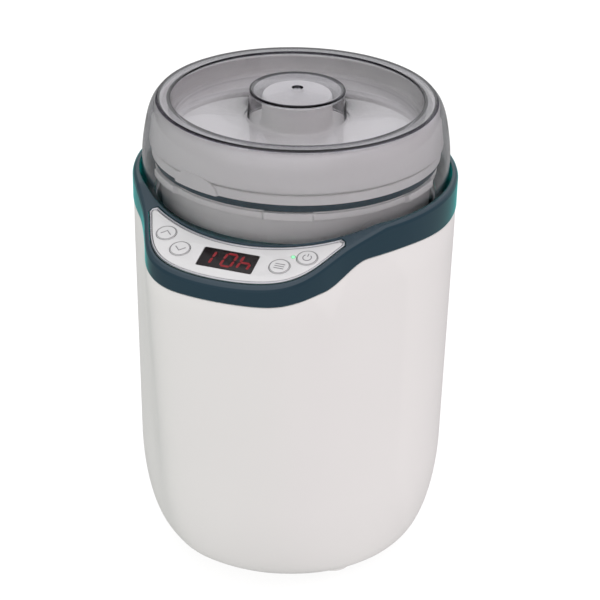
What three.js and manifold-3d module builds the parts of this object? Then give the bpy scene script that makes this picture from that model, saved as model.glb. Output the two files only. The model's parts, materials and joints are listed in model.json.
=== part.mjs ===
// Countertop yogurt maker: a round shell with a control panel on a forward chin, a heated well,
// a lift-out container with its own cap, and a clear outer lid.
// Millimetres, +Z up, the panel faces -Y. The base frame's origin is the centre of the footprint.
import * as THREE from 'three';
import { mergeVertices } from 'three/addons/utils/BufferGeometryUtils.js';
import Module from 'manifold-3d';

// ---- driving dimensions ----
const GAP = 0.3;                    // clearance between pieces that meet
const BODY_SEGMENTS = 60;           // facets round the shell and the collar
const FOOT_HEIGHT = 5;              // underside of the base above the table
const BASE_R = 69.6;                // flat underside
const CORNER_WIDTH = 14.8;          // rounding from underside to wall, horizontally
const CORNER_TOP_Z = 61;            // ... and where it meets the wall
const CORNER_POWER = 1.86;          // superellipse exponent of that rounding
const WALL_TOP_R = 85.5;            // round body at the collar
const WALL_THICKNESS = 2.5;
const CHIN_REACH = 27.9;            // how far the chin stands out in front of the round body
const CHIN_HALF_ANGLE = 29.3;       // degrees, where the chin has half its reach
const CHIN_SHARPNESS = 5.2;
const CHIN_FULL_Z = 185;            // the chin has its full reach above this height
const CHIN_ROOT_Z = 8.6;            // ... and dies out here
const BAND_OVERHANG = 0.4;          // the collar stands proud of the shell
const COLLAR_TOP_Z = 220.1;
const PANEL_TILT = 16.32;           // degrees from horizontal
const PANEL_FRONT = 96.47;          // display centre, forward of the body axis
const PANEL_Z = 207.8;              // display centre height
const LID_SEAT_Z = 210;
const LID_SEAT_R = 82.6;
const WELL_MOUTH_R = 74.5;
const FASCIA_INNER_R = 86.4;
const FASCIA_INSET = 4.7;           // fascia edge in from the chin's outline
const FASCIA_HALF_ANGLE = 34.5;
const FASCIA_THICKNESS = 2;
const BEZEL_WIDTH = 1.5;
const DISPLAY = [28.6, 13.1];
const BUTTON_R = 5.1;
const BUTTON_TRAVEL = 0.5;
const BOARD_TOP = -9.4;             // control board below the panel face
const BOARD_THICKNESS = 1.6;
const LID_R = 81.4;
const LID_WALL = 1.8;
const LID_FLOOR_Z = 246.8;          // the sunken top round the knob
const CAP_TOP_Z = 244.2;
const TAB_R = 77.4;                 // the cap's arched thumb tab
const TAB_MIDDLE = -21;             // degrees from the front
const TAB_HALF_WIDTH = 14.3;
const TAB_HEIGHT = 8.6;
const CONTAINER_RIM_Z = 226.5;
const CONTAINER_TOP_R = 71.8;
const CONTAINER_BASE_R = 66;
const CONTAINER_BASE_Z = 60;
const CONTAINER_WALL = 2;
const FOOT_CIRCLE_R = 57.5;
const FOOT_R = 10.5;
const SCREW_CIRCLE_R = 60;
const SCREW_ANGLES = [30, 150, -150, -30];
const GLAND_R = 5.7;
const GLAND_Z = 30;
const POWER_BOARD_Z = 15;

// The round body's axis stands behind the footprint's centre, because the chin reaches forward.
const AXIS_Y = CHIN_REACH / 2;

// ---- finishes ----
function finish(color, roughness, metalness = 0, opacity = 1) {
  return new THREE.MeshStandardMaterial({ color, roughness, metalness, opacity, transparent: opacity < 1 });
}
const WHITE = finish(0xdedbd9, 0.4);
const TEAL = finish(0x243c4c, 0.3);
const FASCIA = finish(0xe2e6ea, 0.35);
const SILVER = finish(0xc9c4c6, 0.25, 0.9);
const BLACK = finish(0x14100f, 0.15);
const GREEN = finish(0x63d47a, 0.3);
const SMOKE = finish(0x77747c, 0.08, 0, 0.45);
const GREY = finish(0xc6c6c8, 0.5);
const SEAL = finish(0x0c4a50, 0.7);
const NATURAL = finish(0xd3d4d6, 0.45);
const ALUMINIUM = finish(0xb9bbbe, 0.35, 0.9);
const FELT = finish(0xd9d2bf, 0.95);
const BOARD = finish(0x1f5c3a, 0.5);
const STEEL = finish(0x9a9da1, 0.3, 1);
const RUBBER = finish(0x3a3b3d, 0.8);
const COPPER_RED = finish(0x9e2a22, 0.5);
const CABLE_WHITE = finish(0xd8d8d4, 0.5);

const object = new THREE.Group();
const body = new THREE.Group();
body.position.y = AXIS_Y;
object.add(body);
const panel = new THREE.Group();
panel.position.set(0, -PANEL_FRONT, PANEL_Z);
panel.rotation.x = THREE.MathUtils.degToRad(PANEL_TILT);
body.add(panel);

// ---- solids ----
const wasm = await Module();
wasm.setup();

/** A closed three.js geometry as a manifold solid. */
function solid(geometry, matrix = new THREE.Matrix4()) {
  const bare = geometry.clone().applyMatrix4(matrix);
  bare.deleteAttribute('normal');
  bare.deleteAttribute('uv');
  const merged = mergeVertices(bare, 1e-4);
  const index = merged.getIndex().array;
  const faces = [];
  for (let i = 0; i < index.length; i += 3) {
    const [a, b, c] = [index[i], index[i + 1], index[i + 2]];
    if (a !== b && b !== c && c !== a) faces.push(a, b, c);
  }
  return new wasm.Manifold(new wasm.Mesh({
    numProp: 3,
    vertProperties: new Float32Array(merged.getAttribute('position').array),
    triVerts: new Uint32Array(faces),
  }));
}

/** Adds a solid to a group as a named mesh. */
function place(group, name, made, material) {
  const { numProp, vertProperties, triVerts } = made.getMesh();
  const positions = [];
  for (let i = 0; i < vertProperties.length; i += numProp) {
    positions.push(vertProperties[i], vertProperties[i + 1], vertProperties[i + 2]);
  }
  const geometry = new THREE.BufferGeometry();
  geometry.setAttribute('position', new THREE.Float32BufferAttribute(positions, 3));
  geometry.setIndex(Array.from(triVerts));
  geometry.computeVertexNormals();
  const mesh = new THREE.Mesh(geometry, material);
  mesh.name = name;
  group.add(mesh);
}

/** A solid of revolution about Z. Points are [radius, height], counter-clockwise. */
function turned(points, segments = 36) {
  const profile = points.map(([r, z]) => new THREE.Vector2(r, z));
  return solid(new THREE.LatheGeometry(profile, segments).rotateX(Math.PI / 2));
}

/** A ring whose closed section depends on the angle from the front, in degrees. */
function ring(sectionAt, segments) {
  const count = sectionAt(0).length + 1;
  const blank = Array.from({ length: count }, (_, i) => new THREE.Vector2(1, i));
  const geometry = new THREE.LatheGeometry(blank, segments);
  const position = geometry.getAttribute('position');
  for (let step = 0; step <= segments; step++) {
    const turn = (step % segments) / segments;
    const section = sectionAt(360 * (turn > 0.5 ? turn - 1 : turn));
    for (let i = 0; i < count; i++) {
      const [r, z] = section[i % section.length];
      const angle = turn * 2 * Math.PI;
      position.setXYZ(step * count + i, r * Math.sin(angle), z, r * Math.cos(angle));
    }
  }
  return solid(geometry.rotateX(Math.PI / 2));
}

/** A flat outline raised from one height to another. */
function plate(shape, bottom, top, curveSegments = 16) {
  const settings = { depth: top - bottom, bevelEnabled: false, curveSegments };
  return solid(new THREE.ExtrudeGeometry(shape, settings).translate(0, 0, bottom));
}

function block(width, depth, bottom, top, x = 0, y = 0) {
  const box = new THREE.BoxGeometry(width, depth, top - bottom);
  return solid(box.translate(x, y, (bottom + top) / 2));
}

function disc(radius, bottom, top, x = 0, y = 0, segments = 12) {
  return turned([[0, bottom], [radius, bottom], [radius, top], [0, top]], segments).translate([x, y, 0]);
}

/** A round or flat lead along a smooth curve. */
function lead(points, shape, steps = 14) {
  const path = new THREE.CatmullRomCurve3(points.map((p) => new THREE.Vector3(...p)));
  return solid(new THREE.ExtrudeGeometry(shape, { extrudePath: path, steps, curveSegments: 2 }));
}

const degrees = THREE.MathUtils.degToRad;
const smooth = THREE.MathUtils.smoothstep;
const polar = (r, angle) => [r * Math.sin(degrees(angle)), -r * Math.cos(degrees(angle))];

// ---- the body's outline ----
/** How far the chin stands out at an angle from the front. */
const chin = (angle) => CHIN_REACH / (1 + (Math.abs(angle) / CHIN_HALF_ANGLE) ** CHIN_SHARPNESS);
const outline = (angle) => WALL_TOP_R + chin(angle);

/** The share of the chin's reach at a height. */
function chinFade(z) {
  const share = (z - CHIN_ROOT_Z) / (CHIN_FULL_Z - CHIN_ROOT_Z);
  return Math.sqrt(THREE.MathUtils.clamp(share, 0, 1));
}

/** The joint line between shell and collar dips under the panel and swells beside it. */
function bandEdge(angle) {
  const a = Math.abs(angle);
  return 193.2 + 2.6 * smooth(a, 12, 28) + 9.2 * smooth(a, 28, 44) - 2.6 * smooth(a, 56, 90);
}

/** The panel's face, a tilted plane, under the level top of the rest of the collar. */
function collarTop(r, angle) {
  const forward = r * Math.cos(degrees(angle));
  const face = PANEL_Z - (forward - PANEL_FRONT) * Math.tan(degrees(PANEL_TILT));
  return Math.min(COLLAR_TOP_Z, face);
}

/** The rounding at the base, from the flat underside to the wall. */
function baseCorner(steps, inset, floor) {
  const points = [];
  for (let i = 0; i <= steps; i++) {
    const t = (i / steps) * Math.PI / 2;
    const across = Math.sin(t) ** (2 / CORNER_POWER);
    const down = Math.max(Math.cos(t), 0) ** (2 / CORNER_POWER);
    points.push([BASE_R - inset + CORNER_WIDTH * across, CORNER_TOP_Z - (CORNER_TOP_Z - floor) * down]);
  }
  return points;
}

const WALL_FOOT_R = BASE_R + CORNER_WIDTH;
const wallRadius = (z) => THREE.MathUtils.mapLinear(z, CORNER_TOP_Z, CHIN_FULL_Z, WALL_FOOT_R, WALL_TOP_R);

// ---- housing ----
function makeShell() {
  const insideFloor = FOOT_HEIGHT + 3;
  const outside = [
    ...baseCorner(6, 0, FOOT_HEIGHT),
    ...[100, 145, CHIN_FULL_Z].map((z) => [wallRadius(z), z]),
  ];
  const inside = [
    ...baseCorner(3, WALL_THICKNESS, insideFloor),
    ...[120, CHIN_FULL_Z].map((z) => [wallRadius(z) - WALL_THICKNESS, z]),
  ].reverse();
  const shape = ring((angle) => {
    const swell = ([r, z]) => [r + chin(angle) * chinFade(z), z];
    const top = bandEdge(angle) - GAP;
    return [
      [BASE_R - 3.1, FOOT_HEIGHT],
      ...outside.map(swell),
      [outline(angle), top],
      [outline(angle) - WALL_THICKNESS, top],
      ...inside.map(swell),
      [BASE_R - 3.1, insideFloor],
    ];
  }, BODY_SEGMENTS);
  const bossBottom = insideFloor + GAP;
  const bossTop = 30;
  let shell = shape;
  for (const angle of SCREW_ANGLES) {
    const [x, y] = polar(SCREW_CIRCLE_R, angle);
    const rib = block(3, 14, bossBottom + 1.5, bossTop, 0, -SCREW_CIRCLE_R - 7).rotate([0, 0, angle]);
    shell = shell.add(disc(3.8, bossBottom, bossTop, x, y)).add(rib).subtract(disc(1.7, 0, 20, x, y, 8));
  }
  const glandHole = disc(GLAND_R + GAP, -20, 20).rotate([90, 0, 0]).translate([0, 80, GLAND_Z]);
  place(body, 'outer_shell', shell.subtract(glandHole), WHITE);
}

function makeGland() {
  const sleeve = turned([[3.2, 0], [GLAND_R, 0], [GLAND_R, 12], [3.2, 12], [3.2, 0]], 12);
  const collar = turned([[3.2, 0], [8, 0], [8, 1.5], [3.2, 1.5], [3.2, 0]], 12);
  place(body, 'cord_gland', sleeve.add(collar).rotate([-90, 0, 0]).translate([0, 69.3, GLAND_Z]), RUBBER);
}

function makeBase() {
  const top = FOOT_HEIGHT + 3;
  let base = disc(BASE_R - 3.1 - GAP, FOOT_HEIGHT, top, 0, 0, 36);
  for (const angle of SCREW_ANGLES) {
    const [x, y] = polar(SCREW_CIRCLE_R, angle);
    base = base.subtract(disc(1.9, 0, top + 1, x, y, 8)).subtract(disc(3.6, 0, FOOT_HEIGHT + 1.6, x, y));
  }
  for (const x of [-30, -18, -6, 6, 18, 30]) base = base.subtract(block(3.5, 34, 0, top + 1, x));
  for (const [x, y] of boardCorners()) base = base.add(disc(2.6, top - 1, POWER_BOARD_Z - GAP, x, y, 8));
  place(body, 'base_plate', base, WHITE);
  SCREW_ANGLES.forEach((angle, i) => {
    const [x, y] = polar(SCREW_CIRCLE_R, angle);
    const screw = turned([[0, 5.2], [3.1, 5.2], [3.1, 6.3], [1.4, 6.3], [1.4, 18], [0, 18.6]], 8);
    place(body, `base_screw_${i + 1}`, screw.translate([x, y, 0]), STEEL);
  });
}

function makeFeet() {
  const corners = { front_right: 45, rear_right: 135, rear_left: -135, front_left: -45 };
  const seat = FOOT_HEIGHT - GAP;
  for (const [corner, angle] of Object.entries(corners)) {
    const [x, y] = polar(FOOT_CIRCLE_R, angle);
    const cup = turned([
      [0, 2.4], [6.3, 2.4], [6.3, 0.8], [FOOT_R - 0.8, 0.8], [FOOT_R, 1.6], [FOOT_R, seat], [0, seat],
    ], 16);
    const pad = turned([[0, 0], [5.4, 0], [6, 0.6], [6, 2.1], [0, 2.1]], 16);
    place(body, `foot_${corner}`, cup.translate([x, y, 0]), WHITE);
    place(body, `foot_pad_${corner}`, pad.translate([x, y, 0]), RUBBER);
  }
}

// ---- collar and control panel ----
/** The collar's section: a tongue inside the shell, the band, the top edge and the lid's seat. */
function collarSection(angle) {
  const edge = bandEdge(angle);
  const outer = outline(angle) + BAND_OVERHANG;
  const tongue = outer - BAND_OVERHANG - WALL_THICKNESS - GAP - 0.1;
  const top = collarTop(outer, angle);
  const underside = Math.min(LID_SEAT_Z - 3, collarTop(outer - 5, angle) - 5);
  return [
    [tongue - 1.8, edge - 5],
    [tongue, edge - 5],
    [tongue, edge],
    [outer - 0.5, edge],
    [outer, edge + 0.5],
    [outer, top - 2.2],
    [outer - 0.5, top - 0.8],
    [outer - 1.7, collarTop(outer - 1.7, angle) - 0.1],
    [outer - 2.6, collarTop(outer - 2.6, angle)],
    [LID_SEAT_R, collarTop(LID_SEAT_R, angle)],
    [LID_SEAT_R, LID_SEAT_Z],
    [WELL_MOUTH_R, LID_SEAT_Z],
    [WELL_MOUTH_R, LID_SEAT_Z - 3],
    [tongue - 1.8, underside],
  ];
}

/** The crescent of the panel in its own plane, grown or shrunk all round. */
function crescent(grow, halfAngle = FASCIA_HALF_ANGLE) {
  const reach = halfAngle + grow * 0.6;
  const inner = FASCIA_INNER_R - grow;
  const outerAt = (angle) => Math.max(outline(angle) - FASCIA_INSET + grow, inner + 1);
  const points = [];
  const across = (steps) => Array.from({ length: steps + 1 }, (_, i) => reach * (2 * i / steps - 1));
  const tip = (side) => polar((inner + outerAt(reach)) / 2, side * (reach + 0.7));
  points.push(...across(32).map((angle) => polar(outerAt(angle), angle)), tip(1));
  points.push(...across(20).reverse().map((angle) => polar(inner, angle)), tip(-1));
  const foreshortening = Math.cos(degrees(PANEL_TILT));
  return new THREE.Shape(points.map(([x, y]) => new THREE.Vector2(x, (PANEL_FRONT + y) / foreshortening)));
}

function rectangle([width, depth], radius = 0.8) {
  const [w, d] = [width / 2, depth / 2];
  const shape = new THREE.Shape();
  shape.absarc(w - radius, d - radius, radius, 0, Math.PI / 2);
  shape.absarc(radius - w, d - radius, radius, Math.PI / 2, Math.PI);
  shape.absarc(radius - w, radius - d, radius, Math.PI, 1.5 * Math.PI);
  shape.absarc(w - radius, radius - d, radius, 1.5 * Math.PI, 2 * Math.PI);
  return shape;
}

const BUTTONS = {
  up: [-37.3, 11.25], down: [-26.2, 2], set: [26.2, 2], power: [37.3, 11.25],
};
const STATUS_LIGHT = [30.4, 10.35];
const BOARD_SCREWS = [[-17.8, 2], [17.8, 2]];

function makeCollar() {
  const toBody = (cutter) => cutter.rotate([PANEL_TILT, 0, 0]).translate([0, -PANEL_FRONT, PANEL_Z]);
  const pocket = plate(crescent(BEZEL_WIDTH + 2 * GAP), -FASCIA_THICKNESS - 0.7, 8);
  const window = plate(crescent(-1.8, 33), -14, 8);
  let collar = ring(collarSection, BODY_SEGMENTS).subtract(toBody(pocket)).subtract(toBody(window));
  for (const [x, y] of Object.values(BUTTONS)) collar = collar.subtract(toBody(disc(6.2, -14, 0, x, y)));
  place(body, 'collar', collar, TEAL);
}

function makeFascia() {
  let fascia = plate(crescent(0), -FASCIA_THICKNESS, 0);
  for (const [x, y] of Object.values(BUTTONS)) {
    fascia = fascia.subtract(disc(BUTTON_R + GAP, -4, 2, x, y, 16));
  }
  fascia = fascia.subtract(disc(0.9 + GAP, -4, 2, ...STATUS_LIGHT, 12));
  fascia = fascia.subtract(plate(rectangle(DISPLAY.map((size) => size + 2 * GAP)), -4, 2, 3));
  for (const [x, y] of BOARD_SCREWS) {
    fascia = fascia.add(disc(1.8, BOARD_TOP + GAP, -FASCIA_THICKNESS + 0.5, x, y, 12));
    fascia = fascia.subtract(disc(1.1, BOARD_TOP - 1, -3.5, x, y, 8));
  }
  place(panel, 'fascia', fascia, FASCIA);
  const rim = plate(crescent(BEZEL_WIDTH + GAP), -FASCIA_THICKNESS, 0.3);
  place(panel, 'panel_bezel', rim.subtract(plate(crescent(GAP), -4, 2)), SILVER);
  place(panel, 'display_window', plate(rectangle(DISPLAY), -FASCIA_THICKNESS, 0, 3), BLACK);
  place(panel, 'status_light_pipe', disc(0.9, -5.4, 0.15, ...STATUS_LIGHT, 12), GREEN);
}

function makeButtons() {
  const stem = -4.6;
  const flangeTop = -FASCIA_THICKNESS - GAP;
  for (const [name, [x, y]] of Object.entries(BUTTONS)) {
    const cap = turned([
      [0, stem], [2, stem], [2, -3.1], [5.6, -3.1], [5.6, flangeTop], [BUTTON_R, flangeTop],
      [BUTTON_R, 0.2], [BUTTON_R - 0.4, 0.55], [0, 0.55],
    ], 16);
    place(panel, `button_${name}`, cap.translate([x, y, 0]), FASCIA);
    const top = stem - BUTTON_TRAVEL - GAP;
    const switchBody = block(6, 6, BOARD_TOP + GAP, top - 0.4, x, y).add(disc(1.7, top - 1, top, x, y, 12));
    place(panel, `tact_switch_${name}`, switchBody, BLACK);
  }
}

function makeControlBoard() {
  const bottom = BOARD_TOP - BOARD_THICKNESS;
  let board = plate(crescent(-2.8, 29), bottom, BOARD_TOP);
  for (const [x, y] of BOARD_SCREWS) board = board.subtract(disc(1.3, bottom - 1, BOARD_TOP + 1, x, y, 10));
  place(panel, 'control_board', board, BOARD);
  BOARD_SCREWS.forEach(([x, y], i) => {
    const screw = turned([
      [0, bottom - 1.6], [1.9, bottom - 1.3], [1.9, bottom - GAP], [0.8, bottom - GAP], [0.8, -5], [0, -4.6],
    ], 10);
    place(panel, `board_screw_${i + 1}`, screw.translate([x, y, 0]), STEEL);
  });
  place(panel, 'display_module', block(30, 14, BOARD_TOP + GAP, -FASCIA_THICKNESS - GAP), BLACK);
  place(panel, 'status_led', disc(1.5, BOARD_TOP + GAP, -5.7, ...STATUS_LIGHT, 12), GREEN);
  place(panel, 'buzzer', disc(4, bottom - 5.3, bottom - GAP, -8, -1, 20), BLACK);
}

// ---- heated well ----
const WELL_FLOOR_Z = CONTAINER_BASE_Z - GAP;
const WELL_RIM_Z = 205.3;
const wellOutside = (z) => THREE.MathUtils.mapLinear(z, 63, 204, 68.8, 74);

function makeWell() {
  place(body, 'inner_well', turned([
    [0, WELL_FLOOR_Z - 1.3], [63.5, WELL_FLOOR_Z - 1.3], [wellOutside(63), 63], [wellOutside(204), 204],
    [79.5, 204], [79.5, WELL_RIM_Z], [72.8, WELL_RIM_Z], [67.5, 63.6], [63, WELL_FLOOR_Z],
    [0, WELL_FLOOR_Z],
  ]), ALUMINIUM);
  const sleeve = (inset, thickness, low, high) => turned([
    [wellOutside(low) + inset, low], [wellOutside(low) + inset + thickness, low],
    [wellOutside(high) + inset + thickness, high], [wellOutside(high) + inset, high],
    [wellOutside(low) + inset, low],
  ]);
  place(body, 'heater_band', sleeve(GAP, 1.2, 76, 104), RUBBER);
  place(body, 'insulation_sleeve', sleeve(2.2, 4, 70, 196), FELT);
  const plateTop = WELL_FLOOR_Z - 1.3 - GAP;
  place(body, 'heater_plate', turned([
    [6, plateTop - 6], [42, plateTop - 6], [42, plateTop - 1], [40, plateTop], [6, plateTop],
    [6, plateTop - 6],
  ]), ALUMINIUM);
  place(body, 'temperature_sensor', disc(4, plateTop - 9, plateTop, 0, 0, 16), STEEL);
  place(body, 'thermal_cutout', block(16, 9, plateTop - 11.5, plateTop - 6 - GAP, 24, 0), BLACK);
}

// ---- power electronics in the base ----
const boardCorners = () => [[-36, -24], [36, -24], [36, 24], [-36, 24]];

function makePowerBoard() {
  const top = POWER_BOARD_Z + BOARD_THICKNESS;
  const seat = top + GAP;
  place(body, 'power_board', block(84, 56, POWER_BOARD_Z, top), BOARD);
  place(body, 'transformer', block(30, 25, seat, seat + 22, -20, -8), BLACK);
  place(body, 'relay', block(19, 15, seat, seat + 15, 27, 16), CABLE_WHITE);
  place(body, 'terminal_block', block(22, 10, seat, seat + 10, -8, 21), GREEN);
  place(body, 'fuse', disc(2.6, -10, 10, 0, 0, 12).rotate([0, 90, 0]).translate([24, 2, seat + 3]), GREY);
  place(body, 'ribbon_connector', block(16, 5, seat, seat + 6, 18, -24), CABLE_WHITE);
}

function makeLeads() {
  const corners = [[-6, -0.5], [6, -0.5], [6, 0.5], [-6, 0.5]];
  const ribbon = new THREE.Shape(corners.map((corner) => new THREE.Vector2(...corner)));
  const wire = new THREE.Shape().absarc(0, 0, 1.1, 0, 2 * Math.PI);
  place(body, 'ribbon_cable', lead([
    [16, -95, 191], [16, -90, 150], [16, -85, 100], [17, -80, 60], [18, -58, 34], [18, -32, 26],
    [18, -24, 23.8],
  ], ribbon, 16), GREY);
  const heaterLive = lead([[38, 6, 50], [40, 8, 46], [38, 10, 40], [30, 14, 36], [28, 16, 33]], wire);
  const heaterNeutral = lead([
    [-38, 8, 50], [-40, 14, 44], [-30, 20, 36], [-14, 21, 31], [-12, 21, 27.6],
  ], wire);
  const mainsLive = lead([[2, 68, 30], [2, 55, 31], [-1, 36, 32], [-3, 24, 31], [-3, 21, 28.4]], wire);
  const mainsNeutral = lead([[-2, 68, 30], [-2, 55, 31], [-6, 36, 32], [-8, 24, 31], [-8, 21, 28.4]], wire);
  place(body, 'heater_lead_live', heaterLive, COPPER_RED);
  place(body, 'heater_lead_neutral', heaterNeutral, CABLE_WHITE);
  place(body, 'mains_lead_live', mainsLive, COPPER_RED);
  place(body, 'mains_lead_neutral', mainsNeutral, CABLE_WHITE);
}

// ---- container, cap and lid ----
function makeContainer() {
  const rim = CONTAINER_RIM_Z;
  let pot = turned([
    [0, CONTAINER_BASE_Z], [62, CONTAINER_BASE_Z], [CONTAINER_BASE_R, 64], [CONTAINER_TOP_R, 222],
    [74.2, 222], [74.2, rim], [CONTAINER_TOP_R - CONTAINER_WALL, rim], [CONTAINER_TOP_R - CONTAINER_WALL, 222],
    [CONTAINER_BASE_R - CONTAINER_WALL, 66], [61, 62.2], [0, 62.2],
  ], 40);
  for (let lug = 0; lug < 6; lug++) {
    const middle = 17 + lug * 60;
    const shape = new THREE.Shape();
    shape.absarc(0, 0, 76.2, degrees(middle - 9.5 - 90), degrees(middle + 9.5 - 90), false);
    shape.absarc(0, 0, 73, degrees(middle + 9.5 - 90), degrees(middle - 9.5 - 90), true);
    pot = pot.add(plate(shape, 222.6, rim, 3));
  }
  place(body, 'container', pot, NATURAL);
}

function makeCap() {
  // A hollow boss inside the lid's knob, a dish with a tall rim, a stepped flange and a plug skirt.
  const cap = turned([
    [0, 256.6], [15.6, 256.6], [16.4, 242], [66, 242], [66, 224], [68.5, 224], [68.5, 231], [75.8, 231],
    [75.8, 236.4], [75.1, 236.8], [76.7, 237.6], [76.9, 240.4], [76.3, 244], [75, 249], [73.2, 253.2],
    [71.4, 255.6], [69.9, 255.2], [71.1, 252.4], [72.8, 248.2], [74.1, CAP_TOP_Z], [19, CAP_TOP_Z], [18, 246],
    [17.6, 257.8], [16.4, 258.8], [0, 258.8],
  ], 40);
  // An arched thumb tab stands up from the flange at the front left.
  const sector = new THREE.Shape();
  sector.absarc(0, 0, TAB_R, degrees(TAB_MIDDLE - 12 - 90), degrees(TAB_MIDDLE + 12 - 90), false);
  sector.absarc(0, 0, 75.9, degrees(TAB_MIDDLE + 12 - 90), degrees(TAB_MIDDLE - 12 - 90), true);
  const arch = disc(1, 70, 82, 0, 0, 24).scale([TAB_HALF_WIDTH, TAB_HEIGHT, 1]).rotate([90, 0, 0]);
  const tab = plate(sector, 231, 231 + TAB_HEIGHT, 5).intersect(
    arch.translate([0, 0, 231]).rotate([0, 0, TAB_MIDDLE]),
  );
  place(body, 'inner_cap', cap.add(tab), GREY);
  place(body, 'seal_ring', turned([
    [69.2, 226.8], [74.4, 226.8], [75, 228.6], [74.4, 230.7], [69.2, 230.7], [69.2, 226.8],
  ], 40), SEAL);
}

function makeLid() {
  const outside = [
    [LID_R, 210.3], [81, 231.5], [79.7, 241], [78, 249.8], [75.8, 255.6], [72.8, 259],
    [66.2, 258.8], [64.8, 248.6], [63.2, LID_FLOOR_Z], [27.4, LID_FLOOR_Z], [25.8, 248.4], [25, 260.6],
    [23.6, 262.6], [3, 263.4], [0, 262],
  ];
  const inside = [
    [0, 260.2], [22.4, 260.8], [23.2, 260], [24, 247], [26.2, LID_FLOOR_Z - LID_WALL],
    [64.4, LID_FLOOR_Z - LID_WALL], [66.4, 247.2], [67.9, 257], [71.7, 257.2], [74.2, 254.3], [76.2, 249.2],
    [77.9, 240.7], [79.2, 231.4], [LID_R - LID_WALL, 210.3],
  ];
  place(body, 'outer_lid', turned([...inside, ...outside], 40), SMOKE);
}

makeShell();
makeGland();
makeBase();
makeFeet();
makeCollar();
makeFascia();
makeButtons();
makeControlBoard();
makeWell();
makePowerBoard();
makeLeads();
makeContainer();
makeCap();
makeLid();

export default object;
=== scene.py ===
"""Looks of a countertop yogurt maker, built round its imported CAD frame.

Shapes are written in millimetres about the round body's own axis, and PLACE puts them in the frame in metres.
"""
import json
import math

import bmesh
import bpy
from mathutils import Matrix, Vector


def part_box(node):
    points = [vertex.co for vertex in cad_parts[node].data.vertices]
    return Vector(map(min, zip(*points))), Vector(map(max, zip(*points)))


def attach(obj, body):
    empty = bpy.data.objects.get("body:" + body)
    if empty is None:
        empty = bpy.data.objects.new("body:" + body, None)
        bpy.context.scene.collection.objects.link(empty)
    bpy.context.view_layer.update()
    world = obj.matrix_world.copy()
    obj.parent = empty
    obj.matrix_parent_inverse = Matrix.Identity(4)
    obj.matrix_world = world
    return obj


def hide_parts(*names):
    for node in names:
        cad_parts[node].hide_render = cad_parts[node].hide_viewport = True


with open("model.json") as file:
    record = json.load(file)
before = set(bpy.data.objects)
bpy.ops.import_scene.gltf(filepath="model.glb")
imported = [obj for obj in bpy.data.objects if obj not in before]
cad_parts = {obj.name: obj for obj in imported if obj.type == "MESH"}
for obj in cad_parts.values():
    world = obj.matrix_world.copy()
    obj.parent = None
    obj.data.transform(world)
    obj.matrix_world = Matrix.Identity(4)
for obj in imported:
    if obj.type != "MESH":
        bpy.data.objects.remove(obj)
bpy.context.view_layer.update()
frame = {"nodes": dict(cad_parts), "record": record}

# ---- the frame ----
MM = 0.001
LID_LOW, LID_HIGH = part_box("outer_lid")
AXIS = (LID_LOW + LID_HIGH) / 2
PLACE = Matrix.Translation((AXIS.x, AXIS.y, 0)) @ Matrix.Scale(MM, 4)

# ---- driving dimensions in millimetres and degrees, as in the CAD ----
GAP = 0.3
FOOT_HEIGHT = 5
BASE_R = 69.6
CORNER_WIDTH = 14.8
CORNER_TOP_Z = 61
CORNER_POWER = 1.86
WALL_TOP_R = 85.5
WALL_THICKNESS = 2.5
CHIN_REACH = 27.9
CHIN_HALF_ANGLE = 29.3
CHIN_SHARPNESS = 5.2
CHIN_FULL_Z = 185
CHIN_ROOT_Z = 8.6
BAND_OVERHANG = 0.4
COLLAR_TOP_Z = 220.1
PANEL_TILT = math.radians(16.32)
PANEL_FRONT = 96.47
PANEL_Z = 207.8
LID_SEAT_Z = 210
LID_SEAT_R = 82.6
WELL_MOUTH_R = 74.5
FASCIA_INNER_R = 86.4
FASCIA_INSET = 4.7
FASCIA_HALF_ANGLE = 34.5
FASCIA_THICKNESS = 2
BEZEL_WIDTH = 1.5
DISPLAY = (28.6, 13.1)
BUTTON_R = 5.1
LID_R = 81.4
LID_WALL = 1.8
LID_FLOOR_Z = 246.8
KNOB_TOP_Z = 263.3
CAP_TOP_Z = 244.2
CAP_FLANGE_R = 75.8
CAP_FLANGE_Z = 231
CAP_SKIRT_Z = 237.7
CAP_BOSS_Z = 258.8
TAB_R = 77.4
TAB_MIDDLE = -21
TAB_HALF_WIDTH = 14.3
TAB_HEIGHT = 8.6
CONTAINER_RIM_Z = 226.5
CONTAINER_FLANGE_Z = 222
CONTAINER_BASE_Z = 60
LUG_COUNT = 6
LUG_REACH = 2
FOOT_CIRCLE_R = 57.5
FOOT_R = 10.5
PAD_R = 6
GLAND_R = 5.7
GLAND_Z = 30

# Places on the panel, across and up from its middle.
BUTTONS = {"up": (-37.3, 11.25), "down": (-26.2, 2), "set": (26.2, 2), "power": (37.3, 11.25)}
STATUS_LIGHT = (30.4, 10.35)
STATUS_LIGHT_R = 0.9

# Painted shade on the lid's edges, standing in for light trapped in the plastic: middle radius, half width,
# lowest height and strength.
PAINTED_LID_EDGE_SHADE = (
    (73.2, 0.8, 257.9, 1),
    (69.8, 2.9, 258, 0.3),
    (66.3, 0.4, 258.2, 0.9),
    (24.7, 0.6, 261.7, 1),
    (2.6, 0.5, 262, 1),
)

# A ring's section stays this far off the axis, so that its faces never fold together.
CORE_R = 0.01

# ---- camera, in the same axes as the body ----
CAMERA_AZIMUTH = math.radians(19.436)
CAMERA_ELEVATION = math.radians(27.862)
CAMERA_ROLL = math.radians(1.2)
CAMERA_SPOT = (294.92, -824.93, 601.6)
CAMERA_LENS = 107.82
CAMERA_SENSOR = 36

PANEL_ON_BODY = Matrix.Translation((0, -PANEL_FRONT, PANEL_Z)) @ Matrix.Rotation(PANEL_TILT, 4, "X")
PANEL = PLACE @ PANEL_ON_BODY


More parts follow.
